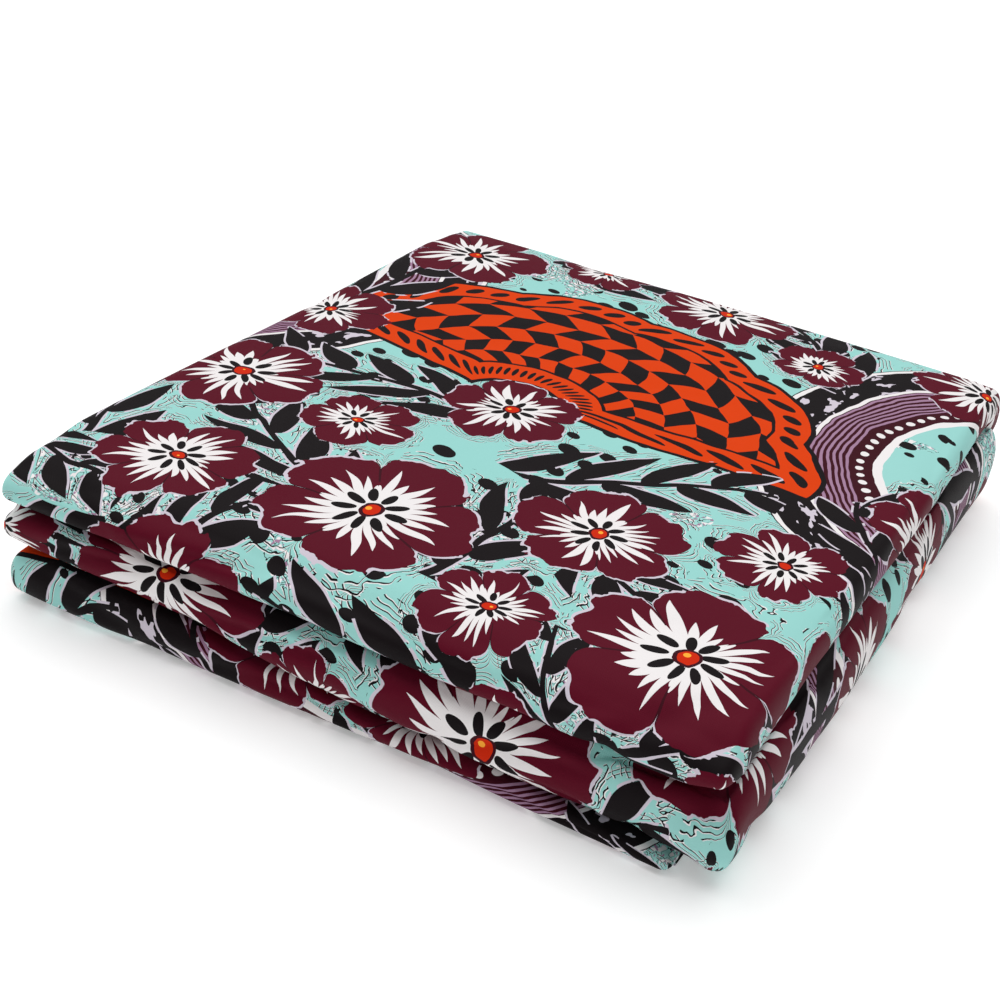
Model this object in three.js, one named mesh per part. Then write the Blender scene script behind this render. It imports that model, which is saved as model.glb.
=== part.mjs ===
import * as THREE from "three";

// A piece of wax print cotton, folded flat for sale or storage. Millimetres, +Z up.
// The cloth is folded in four across its width and in four along its length, and the strip
// is then laid to and fro in four lengths. X runs along the front, where the closed ends of
// the lengths show as three rolls, Y runs to the back, and the pile stands on z = 0.

const CLOTH_WIDTH = 1160;
const CLOTH_LENGTH = 5490;
const FOLDS_ACROSS = 4;
const FOLDS_ALONG = 16;
const LAYER = 0.92; // one layer as it lies in the pile, with the air that it traps
const SEAM = 0.3; // clearance between neighbouring stretches of the cloth

const SIDE_X = CLOTH_WIDTH / FOLDS_ACROSS;
const SIDE_Y = CLOTH_LENGTH / FOLDS_ALONG;
const HEIGHT = LAYER * FOLDS_ACROSS * FOLDS_ALONG;
const TURN = 15; // depth of the rounded turns that close the back of the pile
const HEM = 8; // width of the last strip of a face before it rounds over
const FACE_RADIUS = 0.5; // corners of the loops across a face

const CORNER_POINTS = 4; // chords in a rounded corner
const SIDE_POINTS = 13; // chords along a straight side
const SIDE_CROWDING = 0.6; // how far those chords draw together towards the corners
const FACE_INSETS = [36, 68, 100]; // loops across the faces that lie on each other

// Heights of the seams and of the top, as shares of HEIGHT, along the front edge, the middle
// and the back edge. The rows of each table run from the left side to the right, evenly apart.
const LEVELS = {
  lower: [
    { front: 0.35, middle: 0.28, back: 0.25 },
    { front: 0.31, middle: 0.275, back: 0.26 },
    { front: 0.2, middle: 0.24, back: 0.26 },
    { front: 0.14, middle: 0.19, back: 0.23 },
    { front: 0.1, middle: 0.13, back: 0.13 },
  ],
  half: [
    { front: 0.5, middle: 0.5, back: 0.49 },
    { front: 0.45, middle: 0.48, back: 0.5 },
    { front: 0.42, middle: 0.46, back: 0.47 },
  ],
  upper: [
    { front: 0.67, middle: 0.72, back: 0.74 },
    { front: 0.62, middle: 0.71, back: 0.75 },
    { front: 0.6, middle: 0.72, back: 0.73 },
  ],
  top: [
    { front: 0.95, middle: 0.975, back: 0.98 },
    { front: 0.97, middle: 1.0, back: 0.99 },
    { front: 0.965, middle: 0.995, back: 0.985 },
    { front: 0.955, middle: 0.97, back: 0.975 },
  ],
};

// Unevenness of the leaves of cloth down an open edge, as shares of the leaf's own notch.
const LEAF_STEPS = [0.1, 0.7, 0.25, 0.85, 0.0, 0.55];

// Each stretch that shows. inset: how far each side stands in from the nominal rectangle.
// over and under: how far the rounding reaches in, above and below the widest line, which
// lies at the share "widest" of the thickness. notch: depth of the lines between leaves.
const STRETCHES = [
  {
    name: "bottom_length",
    faces: FACE_INSETS,
    hem: HEM,
    levels: ["floor", "lower"],
    inset: { left: 5, right: 19, front: 3, back: TURN },
    over: { left: 5, right: 6, front: 7, back: 0.8 },
    under: { left: 4, right: 4, front: 8, back: 0.8 },
    notch: { left: 3.2, right: 0, front: 0, back: 0 },
    radius: { front: 11, back: 1 },
    widest: 0.5,
    leaves: 4,
    sway: { x: 1.0, y: 1.2, phase: 0.4 },
    colour: 0x6c1a35,
  },
  {
    name: "middle_fold",
    faces: FACE_INSETS,
    hem: HEM,
    levels: ["lower", "upper"],
    inset: { left: 3, right: -1, front: 0, back: TURN },
    over: { left: 6, right: 9, front: 9, back: 0.8 },
    under: { left: 5, right: 6, front: 9, back: 0.8 },
    notch: { left: 3.2, right: 0, front: 0, back: 0 },
    radius: { front: 13, back: 1 },
    widest: 0.46,
    leaves: 6,
    sway: { x: 1.2, y: 1.0, phase: 2.1 },
    colour: 0x2d2428,
  },
  {
    name: "top_length",
    faces: FACE_INSETS,
    hem: HEM,
    levels: ["upper", "top"],
    inset: { left: 4, right: 4, front: 0, back: TURN },
    over: { left: 7, right: 6, front: 19, back: 0.8 },
    under: { left: 4, right: 4, front: 8, back: 0.8 },
    notch: { left: 3.0, right: 1.0, front: 0, back: 0 },
    radius: { front: 15, back: 1 },
    widest: 0.42,
    leaves: 4,
    sway: { x: 0.9, y: 1.2, phase: 1.2 },
    colour: 0x86cfc6,
  },
  {
    name: "lower_turn",
    faces: [],
    hem: 0.6,
    levels: ["floor", "half"],
    inset: { left: 5, right: 5, front: SIDE_Y - TURN + SEAM, back: 1 },
    over: { left: 6, right: 6, front: 1, back: 11 },
    under: { left: 5, right: 5, front: 1, back: 10 },
    notch: { left: 2.4, right: 0, front: 0, back: 0 },
    radius: { front: 1.5, back: 10 },
    widest: 0.48,
    leaves: 3,
    sway: { x: 0.9, y: 0.5, phase: 3.0 },
    colour: 0xe24a14,
  },
  {
    name: "upper_turn",
    faces: [],
    hem: 0.6,
    levels: ["half", "top"],
    inset: { left: 4, right: 4, front: SIDE_Y - TURN + SEAM, back: 0 },
    over: { left: 7, right: 6, front: 1, back: 12 },
    under: { left: 5, right: 5, front: 1, back: 10 },
    notch: { left: 2.4, right: 0, front: 0, back: 0 },
    radius: { front: 1.5, back: 11 },
    widest: 0.46,
    leaves: 3,
    sway: { x: 0.9, y: 0.5, phase: 1.2 },
    colour: 0x9c8398,
  },
];

// The right edge of the middle fold hangs over the bottom length and nearly meets the floor.
const DROOP = { from: SIDE_X / 2 - 13, to: SIDE_X / 2 - 6, height: 0.8 };

const mix = (a, b, share) => a + (b - a) * share;

/** Eases from 0 to 1 as the value goes from the first bound to the second. */
function ease(low, high, value) {
  const share = THREE.MathUtils.clamp((value - low) / (high - low), 0, 1);
  return share * share * (3 - 2 * share);
}

/** Reads one column of a LEVELS table at a share of the way across, on a smooth curve. */
function column(rows, across, name) {
  const place = THREE.MathUtils.clamp(across, 0, 1) * (rows.length - 1);
  const row = Math.min(Math.floor(place), rows.length - 2);
  const value = (i) => rows[THREE.MathUtils.clamp(i, 0, rows.length - 1)][name];
  const [before, from, to, after] = [row - 1, row, row + 1, row + 2].map(value);
  const t = place - row;
  const leave = (to - before) / 2;
  const arrive = (after - from) / 2;
  return (
    (2 * t ** 3 - 3 * t ** 2 + 1) * from +
    (t ** 3 - 2 * t ** 2 + t) * leave +
    (3 * t ** 2 - 2 * t ** 3) * to +
    (t ** 3 - t ** 2) * arrive
  );
}

/** Height of a seam or of the top over one point of the plan. */
function level(name, x, y) {
  if (name === "floor") return 0;
  const across = x / SIDE_X + 0.5;
  const deep = THREE.MathUtils.clamp(y / SIDE_Y + 0.5, 0, 1);
  const [front, middle, back] = ["front", "middle", "back"].map((part) => column(LEVELS[name], across, part));
  const share = deep < 0.5 ? mix(front, middle, ease(0, 0.5, deep)) : mix(middle, back, ease(0.5, 1, deep));
  return HEIGHT * share;
}

/** Underside of a stretch, a seam's width above what it lies on. */
function underside(stretch, x, y) {
  const name = stretch.levels[0];
  const seam = name === "floor" ? 0 : level(name, x, y) + SEAM;
  if (stretch.name !== "middle_fold") return seam;
  return mix(seam, DROOP.height, ease(DROOP.from, DROOP.to, x));
}

/** One closed loop of the plan: a rectangle with rounded corners, anticlockwise. */
function outline(edges, radius) {
  const corners = [
    { x: edges.right, y: edges.front, dx: -1, dy: 1, r: radius.front, turn: -Math.PI / 2 },
    { x: edges.right, y: edges.back, dx: -1, dy: -1, r: radius.back, turn: 0 },
    { x: edges.left, y: edges.back, dx: 1, dy: -1, r: radius.back, turn: Math.PI / 2 },
    { x: edges.left, y: edges.front, dx: 1, dy: 1, r: radius.front, turn: Math.PI },
  ];
  const arcs = corners.map((corner) => {
    const points = [];
    for (let i = 0; i <= CORNER_POINTS; i += 1) {
      const angle = corner.turn + (Math.PI / 2) * (i / CORNER_POINTS);
      const x = corner.x + corner.dx * corner.r + corner.r * Math.cos(angle);
      const y = corner.y + corner.dy * corner.r + corner.r * Math.sin(angle);
      points.push(new THREE.Vector2(x, y));
    }
    return points;
  });
  const loop = [];
  arcs.forEach((arc, index) => {
    loop.push(...arc);
    const from = arc[arc.length - 1];
    const to = arcs[(index + 1) % arcs.length][0];
    for (let i = 1; i < SIDE_POINTS; i += 1) {
      const even = i / SIDE_POINTS;
      const crowded = (1 - Math.cos(Math.PI * even)) / 2;
      loop.push(from.clone().lerp(to, mix(even, crowded, SIDE_CROWDING)));
    }
  });
  return loop;
}

/** The edges of the nominal rectangle, moved in by a distance for each side. */
function edgesAt(distance) {
  return {
    left: -SIDE_X / 2 + distance.left,
    right: SIDE_X / 2 - distance.right,
    front: -SIDE_Y / 2 + distance.front,
    back: SIDE_Y / 2 - distance.back,
  };
}

/** Applies one rule to the four sides of a stretch. */
const bySide = (rule) => Object.fromEntries(["left", "right", "front", "back"].map((side) => [side, rule(side)]));

/** Heights round the rounded edge of a stretch, with the notch and step of its leaves. */
function edgeRows(leaves) {
  const rows = [];
  for (let leaf = 0; leaf < leaves; leaf += 1) {
    const step = LEAF_STEPS[leaf % LEAF_STEPS.length];
    rows.push({ round: leaf / leaves, notch: leaf === 0 ? 0 : 1 });
    rows.push({ round: (leaf + 0.28) / leaves, notch: step });
    rows.push({ round: (leaf + 0.72) / leaves, notch: step });
  }
  rows.push({ round: 1, notch: 0 });
  return rows;
}

/** The loops of one stretch, from its underside round its edge to its upper face. */
function loopsOf(stretch) {
  const loops = [];
  const face = (distance, height) => {
    const radius = { front: FACE_RADIUS, back: FACE_RADIUS };
    loops.push({ points: outline(edgesAt(distance), radius), height, swayed: false });
  };
  const hem = (reach) => bySide((side) => stretch.inset[side] + reach[side] + stretch.hem);
  const faces = stretch.faces.map((inset) => bySide((side) => inset + (side === "back" ? TURN : 0)));
  [...faces].reverse().forEach((distance) => face(distance, "under"));
  face(hem(stretch.under), "under");
  edgeRows(stretch.leaves).forEach((row) => {
    const angle = Math.PI * (row.round - 0.5);
    const reach = angle < 0 ? stretch.under : stretch.over;
    const distance = bySide(
      (side) => stretch.inset[side] + reach[side] * (1 - Math.cos(angle)) + stretch.notch[side] * row.notch,
    );
    const shrink = 1 - 0.35 * (1 - Math.cos(angle));
    const edges = edgesAt(distance);
    const room = (edges.back - edges.front) / 2;
    const radius = {
      front: Math.min(stretch.radius.front * shrink, room),
      back: Math.min(stretch.radius.back * shrink, room),
    };
    loops.push({ points: outline(edges, radius), height: angle, swayed: true });
  });
  face(hem(stretch.over), "over");
  faces.forEach((distance) => face(distance, "over"));
  return loops;
}

/** Lays a point of the plan slightly out of line, as hand-folded cloth lies. */
function swayed(stretch, point) {
  const { x, y, phase } = stretch.sway;
  const turn = 2 * Math.PI;
  const towardsFront = 1 - ease(0, SIDE_Y / 2 - TURN, point.y);
  return new THREE.Vector2(
    point.x + x * Math.sin((turn * 1.3 * point.y) / SIDE_Y + phase),
    point.y + y * towardsFront * Math.sin((turn * 1.1 * point.x) / SIDE_X + 2 * phase),
  );
}

/** Height of a loop's point: on the upper face, on the underside or round the edge. */
function heightOf(stretch, loopHeight, x, y) {
  const low = underside(stretch, x, y);
  const high = level(stretch.levels[1], x, y);
  if (loopHeight === "under") return low;
  if (loopHeight === "over") return high;
  const widest = mix(low, high, stretch.widest);
  return loopHeight < 0 ? mix(widest, low, -Math.sin(loopHeight)) : mix(widest, high, Math.sin(loopHeight));
}

/** One stretch of the cloth: its layers as a single rounded solid, layered at its edges. */
function stretchMesh(stretch) {
  const loops = loopsOf(stretch);
  const size = loops[0].points.length;
  const positions = [];
  const index = [];
  loops.forEach((loop) => {
    loop.points.forEach((point) => {
      const at = loop.swayed ? swayed(stretch, point) : point;
      positions.push(at.x, at.y, heightOf(stretch, loop.height, at.x, at.y));
    });
  });
  for (let row = 0; row + 1 < loops.length; row += 1) {
    for (let i = 0; i < size; i += 1) {
      const next = (i + 1) % size;
      const [a, b] = [row * size + i, row * size + next];
      index.push(a, b, b + size, a, b + size, a + size);
    }
  }
  // The innermost loop of each face is closed by strips that run from its front to its back.
  const top = (loops.length - 1) * size;
  const start = CORNER_POINTS + Math.ceil(SIDE_POINTS / 2);
  for (let i = 0; i < size / 2 - 1; i += 1) {
    const [a, b] = [(start + i) % size, (start + i + 1) % size];
    const [c, d] = [(start - i - 1 + size) % size, (start - i - 2 + size) % size];
    index.push(a, c, b, b, c, d);
    index.push(top + a, top + b, top + c, top + b, top + d, top + c);
  }
  const geometry = new THREE.BufferGeometry();
  geometry.setAttribute("position", new THREE.Float32BufferAttribute(positions, 3));
  geometry.setIndex(index);
  geometry.computeVertexNormals();
  const material = new THREE.MeshStandardMaterial({ color: stretch.colour, roughness: 0.75, metalness: 0 });
  const mesh = new THREE.Mesh(geometry, material);
  mesh.name = stretch.name;
  return mesh;
}

const cloth = new THREE.Group();
cloth.name = "folded_wax_print_cloth";
STRETCHES.forEach((stretch) => cloth.add(stretchMesh(stretch)));

// The origin is the middle of the pile's own box, on the surface that it lies on.
const middle = new THREE.Box3().setFromObject(cloth).getCenter(new THREE.Vector3());
cloth.position.set(-middle.x, -middle.y, 0);

export default cloth;
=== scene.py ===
import math
import bmesh
import bpy
from mathutils import Matrix, Vector
from mathutils.bvhtree import BVHTree


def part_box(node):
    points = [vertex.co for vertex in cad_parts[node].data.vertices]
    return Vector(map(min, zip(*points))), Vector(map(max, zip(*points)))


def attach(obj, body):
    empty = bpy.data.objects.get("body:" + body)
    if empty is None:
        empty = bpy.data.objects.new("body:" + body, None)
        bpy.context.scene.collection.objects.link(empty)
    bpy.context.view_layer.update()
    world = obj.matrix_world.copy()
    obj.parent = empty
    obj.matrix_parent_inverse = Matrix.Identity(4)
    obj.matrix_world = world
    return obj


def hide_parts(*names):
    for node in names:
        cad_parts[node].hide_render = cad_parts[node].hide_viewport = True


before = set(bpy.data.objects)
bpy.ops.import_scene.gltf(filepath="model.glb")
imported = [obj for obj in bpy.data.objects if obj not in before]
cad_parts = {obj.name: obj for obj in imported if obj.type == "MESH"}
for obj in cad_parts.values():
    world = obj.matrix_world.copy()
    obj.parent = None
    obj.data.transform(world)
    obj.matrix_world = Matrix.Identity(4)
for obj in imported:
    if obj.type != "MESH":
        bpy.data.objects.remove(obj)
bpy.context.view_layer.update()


# ---- Top length ------------------------------------------------------------------------------
# The uppermost length of the folded cloth: printed cotton that rolls softly over the front into
# its closed end, and turns down over the back. It is one strip, laid flat and only folded.

MM = 0.001
COTTON = 0.45 * MM  # thickness of the cloth
SMOOTHING = 5 * MM  # reach over which a solid's facets are evened out
CORNER_POWER = 3  # 2 rounds the corners of the pile like a ball, and more draws them out
WAVES_ALONG = 1.3  # waves of the sides' sway from front to back
WAVES_ACROSS = 1.1  # and of the front's sway from left to right
TURN_DEPTH = 15 * MM  # about the depth of the turns that close the back
SOFTENING = 0.35  # how far each point is drawn to its neighbours after the creases are laid


def faces_of(node):
    """Functions that give the upper face and the underside of a solid over the plan."""
    tree = BVHTree.FromObject(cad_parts[node], bpy.context.evaluated_depsgraph_get())
    low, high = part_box(node)

    def face(side):
        def height(x, y):
            found = []
            for dx, dy in ((0, 0), (1, 0), (-1, 0), (0, 1), (0, -1)):
                start = Vector((x + dx * SMOOTHING, y + dy * SMOOTHING, side))
                hit = tree.ray_cast(start, Vector((0, 0, -side)))[0]
                if hit:
                    found.append(hit.z)
            return sum(found) / len(found) if found else (low.z + high.z) / 2

        return height

    return face(1), face(-1)


def table(columns, *rows):
    """Rows of values under the names of their columns; a row may leave out its last ones."""
    return [dict(zip(columns.split(), row)) for row in rows]


def ease(low, high, value):
    """Goes smoothly from 0 to 1 as the value goes from low to high."""
    share = min(max((value - low) / (high - low), 0), 1)
    return share * share * (3 - 2 * share)


def mix(a, b, share):
    return a + (b - a) * share


def quarter(reach, rise):
    """Length of a quarter of an ellipse."""
    return math.pi / 2 * math.sqrt((reach * reach + rise * rise) / 2)


def ruled(rows):
    """Lines of a flat cloth, crowded where it bends: rows are (start, end, pitch)."""
    lines = [rows[0][0]]
    for start, end, pitch in rows:
        count = max(1, round((end - start) / pitch))
        lines += [mix(start, end, (i + 1) / count) for i in range(count)]
    return lines


def bend_rows(start, end, arcs, tails, fine, coarse):
    """Rulings across one direction of a cloth that bends down and under at both ends."""
    (arc_a, arc_b), (tail_a, tail_b) = arcs, tails
    rows = [
        (start - arc_a - tail_a, start - arc_a, fine * 2),
        (start - arc_a, start, fine),
        (start, end, coarse),
        (end, end + arc_b, fine),
        (end + arc_b, end + arc_b + tail_b, fine * 2),
    ]
    return ruled([row for row in rows if row[1] - row[0] > 1e-6])


def cotton_piece(name, mesh, flat_size):
    """Gives a laid face of cloth its thickness, and keeps the size that it has when flat."""
    data = bpy.data.meshes.new(name)
    mesh.to_mesh(data)
    mesh.free()
    data.polygons.foreach_set("use_smooth", [True] * len(data.polygons))
    piece = bpy.data.objects.new(name, data)
    bpy.context.scene.collection.objects.link(piece)
    wall = piece.modifiers.new("cotton", "SOLIDIFY")
    wall.thickness = COTTON
    wall.offset = -1
    piece["flat_width"], piece["flat_length"] = flat_size
    return piece


def cloth_sheet(name, form):
    """Lays a flat printed cloth over one stretch of the pile and returns its object.

    form names the edges of the stretch in plan, how far the cloth's rounding reaches in above
    (over) and below (under) its widest line, the tails that run on out of sight, the heights of
    its upper face and underside, and whether its left side lies open in leaves."""
    outward = {"left": -1, "right": 1, "front": -1, "back": 1}
    edge, over, under, tail = form["edge"], form["over"], form["under"], form["tail"]
    arc = {s: (quarter(over[s], form["rise"]), quarter(under[s], form["drop"])) for s in outward}
    start = {s: edge[s] - outward[s] * over[s] for s in outward}

    def rulings(a, b):
        arcs = (sum(arc[a]), sum(arc[b]))
        return bend_rows(start[a], start[b], arcs, (tail[a], tail[b]), form["fine"], form["coarse"])

    across, along = rulings("left", "right"), rulings("front", "back")

    def round_of(value, low_side, high_side):
        """Side that a flat coordinate has run past, and how many quarter turns past it."""
        if value < start[low_side]:
            side, past = low_side, start[low_side] - value
        elif value > start[high_side]:
            side, past = high_side, value - start[high_side]
        else:
            return None, 0
        first, second = arc[side]
        if past <= first:
            return side, past / first
        return side, 1 + (past - first) / second

    def placed(side, share, turned, flat):
        """Plan coordinate of a point, on its side of the pile."""
        if side is None:
            return flat
        if turned <= 1:
            reach = over[side] * math.sin(turned * math.pi / 2)
        elif turned <= 2:
            reach = over[side] - under[side] * (1 - math.cos((turned - 1) * math.pi / 2))
        else:
            reach = over[side] - under[side] - (turned - 2) * arc[side][1]
        return start[side] + outward[side] * share * reach

    def lay(a, s):
        x_side, x_turn = round_of(a, "left", "right")
        y_side, y_turn = round_of(s, "front", "back")
        turned = (x_turn**CORNER_POWER + y_turn**CORNER_POWER) ** (1 / CORNER_POWER)
        share = (x_turn / turned, y_turn / turned) if turned else (0, 0)
        x = placed(x_side, share[0], turned, a)
        y = placed(y_side, share[1], turned, s)
        inner_x = min(max(x, edge["left"] + form["margin"]), edge["right"] - form["margin"])
        inner_y = min(max(y, edge["front"] + form["margin"]), edge["back"] - form["margin"])
        high = form["high"](inner_x, inner_y)
        low = form["low"](inner_x, inner_y)
        if form["open_left"] and x_side == "left":
            low = mix(low, high - FIRST_LEAF, left_open(y))
        widest = mix(low, high, form["widest"])
        if turned <= 1:
            z = mix(widest, high, math.cos(turned * math.pi / 2) ** form["fullness"])
        elif turned <= 2:
            z = mix(widest, low, max(0, math.sin((turned - 1) * math.pi / 2)) ** form["fullness"])
        else:
            z = low
        sway_x = form["sway"][0] * math.sin(2 * math.pi * WAVES_ALONG * y / SIDE_Y + form["phase"])
        forward = 1 - ease(0, SIDE_Y / 2 - TURN_DEPTH, y)
        swing = math.sin(2 * math.pi * WAVES_ACROSS * x / SIDE_X + 2 * form["phase"])
        sway_y = form["sway"][1] * forward * swing
        return Vector((x + sway_x, y + sway_y, z)), turned

    mesh = bmesh.new()
    bmesh.ops.create_grid(mesh, x_segments=len(across) - 1, y_segments=len(along) - 1, size=1)
    print_map = mesh.loops.layers.uv.new("cloth")
    flat = {}
    turns = {}
    for vertex in mesh.verts:
        column = round((vertex.co.x + 1) / 2 * (len(across) - 1))
        row = round((vertex.co.y + 1) / 2 * (len(along) - 1))
        flat[vertex] = (across[column], along[row])
    for face in mesh.faces:
        for loop in face.loops:
            a, s = flat[loop.vert]
            loop[print_map].uv = (a + form["print_at"][0], s + form["print_at"][1])
    for vertex in mesh.verts:
        vertex.co, turns[vertex] = lay(*flat[vertex])
    trimmed = [f for f in mesh.faces if corner_waste(f, flat, turns, start, form["corner_turns"])]
    bmesh.ops.delete(mesh, geom=trimmed, context="FACES")
    mesh.normal_update()
    moves = {v: v.normal * crease_depth(form["creases"], *flat[v]) for v in mesh.verts if v in flat}
    for vertex, move in moves.items():
        vertex.co += move
    axes = {"use_axis_x": True, "use_axis_y": True, "use_axis_z": True}
    bmesh.ops.smooth_vert(mesh, verts=mesh.verts, factor=SOFTENING, **axes)
    return cotton_piece(name, mesh, (across[-1] - across[0], along[-1] - along[0]))


def corner_waste(face, flat, turns, start, limit):
    """True for the cloth of a corner that would crowd past the given number of quarter turns."""
    for vertex in face.verts:
        a, s = flat[vertex]
        past_side = a < start["left"] or a > start["right"]
        past_end = s < start["front"] or s > start["back"]
        if past_side and past_end and turns[vertex] > limit:
            return True
    return False


def crease_depth(creases, a, s):
    """Depth of the listed creases at a point of the flat cloth.

    Each row is a soft trough in millimetres: its middle, its direction in degrees, its half
    length, half width and depth, and how far its ends bow to one side."""
    depth = 0
    for row in creases:
        angle = math.radians(row["angle"])
        dx, dy = a / MM - row["at"][0], s / MM - row["at"][1]
        length = dx * math.cos(angle) + dy * math.sin(angle)
        side = -dx * math.sin(angle) + dy * math.cos(angle)
        side += row.get("bow", 0) * (length / row["long"]) ** 2
        fade = math.exp(-((side / row["wide"]) ** 2)) * math.exp(-((length / row["long"]) ** 4))
        depth -= row["deep"] * MM * fade
    return depth


def folded_leaves(name, form, leaves):
    """The folds of the hidden layers down the open left side, one above the other.

    Each row of leaves gives its share of the height between the form's two levels, how many
    millimetres it stands in from the edge of the pile and waves by, and how it waves."""
    edge = form["edge"]
    mesh = bmesh.new()
    print_map = mesh.loops.layers.uv.new("cloth")
    total = sum(leaf["share"] for leaf in leaves)
    passed = 0
    start, end = form["span"]
    for leaf in leaves:
        below, above = passed / total, (passed + leaf["share"]) / total
        passed += leaf["share"]
        made = bmesh.ops.create_grid(mesh, x_segments=LEAF_COLUMNS, y_segments=LEAF_ROWS, size=1)["verts"]
        flat = {}
        for vertex in made:
            round_edge, along = vertex.co.x, (vertex.co.y + 1) / 2
            y = mix(start, end, along)
            low = form["low"](edge + LEAF_MARGIN, y)
            high = form["high"](edge + LEAF_MARGIN, y)
            wave = math.sin(2 * math.pi * (leaf["waves"] * along + leaf["phase"]))
            # The drift is slower than the wave and out of step with it.
            drift = math.sin(2 * math.pi * (0.7 * leaf["waves"] * along + 2.3 * leaf["phase"]))
            lower = mix(low, high, below) + LEAF_GAP / 2
            upper = mix(low, high, above) - LEAF_GAP / 2
            middle, half = (lower + upper) / 2 + LEAF_DRIFT * drift, (upper - lower) / 2
            sway = form["sway"][0] * math.sin(2 * math.pi * WAVES_ALONG * y / SIDE_Y + form["phase"])
            left = edge + leaf["inset"] * MM + leaf["wave"] * MM * wave + sway
            bend = min(max(round_edge / LEAF_BEND, -1), 1) * math.pi / 2
            tail = max(abs(round_edge) - LEAF_BEND, 0) / (1 - LEAF_BEND) * LEAF_DEPTH
            x = left + LEAF_ROUND * half * (1 - math.cos(bend)) + tail
            vertex.co = Vector((x, y, middle + half * math.sin(bend)))
            path = math.copysign(tail, round_edge) + bend * half
            flat[vertex] = (path + leaf["print_at"][0], y + leaf["print_at"][1])
        for face in {f for vertex in made for f in vertex.link_faces}:
            for loop in face.loops:
                loop[print_map].uv = flat[loop.vert]
    bmesh.ops.recalc_face_normals(mesh, faces=mesh.faces)
    half_height = (form["high"](edge + LEAF_MARGIN, 0) - form["low"](edge + LEAF_MARGIN, 0)) / 2
    return cotton_piece(name, mesh, (2 * LEAF_DEPTH * len(leaves) + math.pi * half_height, end - start))


FIRST_LEAF = 3.4 * MM  # thickness of the uppermost leaf down an open side
LEAF_ROUND = 1.1  # depth of a leaf's rounded fold, as a share of half its height
LEAF_BEND = 0.6  # share of a leaf's strip that bends, with the rest in its two flat tails
LEAF_DRIFT = 0.25 * MM  # how far a leaf wanders up and down
LEAF_GAP = 0.3 * MM  # air between one leaf and the next
LEAF_DEPTH = 16 * MM  # how far a leaf's flat tails run in, out of sight
LEAF_MARGIN = 9 * MM  # how far in from the edge the heights of the pile are taken
LEAF_COLUMNS, LEAF_ROWS = 14, 84
SIDE_X = 290 * MM
SIDE_Y = 343.1 * MM
HALF_X = SIDE_X / 2
HALF_Y = SIDE_Y / 2
TURN_FROM, TURN_TO = HALF_Y - 22 * MM, HALF_Y - 12 * MM

top_high, top_low = faces_of("top_length")
turn_high, turn_low = faces_of("upper_turn")
seam_y = HALF_Y - 17 * MM
turn_y = HALF_Y - 8 * MM


def sides(left, right, front, back):
    """Lengths for the four sides of a stretch, from millimetres."""
    return {"left": left * MM, "right": right * MM, "front": front * MM, "back": back * MM}


def inset(left, right, front, back):
    """Edges of a stretch in plan, millimetres in from the nominal sides of the pile."""
    return {
        "left": -HALF_X + left * MM,
        "right": HALF_X - right * MM,
        "front": -HALF_Y + front * MM,
        "back": HALF_Y - back * MM,
    }


def top_face(x, y):
    return mix(top_high(x, min(y, seam_y)), turn_high(x, turn_y), ease(seam_y - 8 * MM, turn_y, y))


def top_underside(x, y):
    return mix(top_low(x, min(y, seam_y)), turn_low(x, turn_y), ease(TURN_FROM, TURN_TO, y))


def left_open(y):
    """How far the leaves of the left side lie open, between the closed ends of the pile."""
    return ease(-HALF_Y + 22 * MM, -HALF_Y + 48 * MM, y) * (1 - ease(HALF_Y - 40 * MM, HALF_Y - 24 * MM, y))


TOP_CREASES = table(
    "at angle long wide deep bow",
    ((-60, 40), 6, 120, 8, 1),
    ((50, -60), -14, 90, 9.6, 1.1, 6),
    ((-20, -130), 4, 70, 6.4, 1),
    ((90, -120), 24, 50, 7.2, 1.3, 4),
    ((-105, -100), 62, 45, 7.2, 1.2),
    ((20, 120), -3, 110, 7.2, 1),
    ((110, 60), 82, 70, 6.4, 1),
    ((112, -163), 48, 30, 4.8, 2.4, 3),
    ((66, -170), 9, 34, 4, 1.9),
    ((4, -166), -7, 40, 4, 1.6, 2),
    ((-58, -172), 11, 26, 3.2, 1.8),
    ((-112, -164), -38, 24, 4, 2.1),
    ((-40, -190), 12, 30, 4, 1.4),
    ((92, -188), -9, 34, 4, 1.8),
    ((136, -90), 84, 40, 3.2, 1.2),
    ((138, 30), 96, 50, 3.2, 1.1),
    ((-30, 168), 6, 50, 4, 1.6),
    ((80, 174), -10, 36, 3.2, 1.8),
    ((154.5, 0), 90, 150, 0.9, 0.6),
)

top_cloth = cloth_sheet(
    "top_cloth",
    {
        "edge": inset(left=3.5, right=5, front=0, back=0),
        "over": sides(left=6, right=6, front=19, back=11),
        "under": sides(left=4, right=8, front=9, back=9),
        "tail": sides(left=5, right=5, front=26, back=5),
        "rise": 9 * MM,
        "drop": 8 * MM,
        "widest": 0.42,
        "fullness": 0.85,
        "margin": 9 * MM,
        "fine": 1.2 * MM,
        "coarse": 3.6 * MM,
        "corner_turns": 2.3,
        "high": top_face,
        "low": top_underside,
        "open_left": True,
        "sway": (0.9 * MM, 1.2 * MM),
        "phase": 1.2,
        "print_at": (0.21, 0.24),
        "creases": TOP_CREASES,
    },
)


# The print: ink colours in linear light, and the groups that draw each motif of the repeat.


def ink(code):
    """Linear colour of a six-figure colour code."""
    parts = [int(code[i : i + 2], 16) / 255 for i in (0, 2, 4)]
    return tuple(c / 12.92 if c <= 0.04045 else ((c + 0.055) / 1.055) ** 2.4 for c in parts) + (1,)


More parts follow.
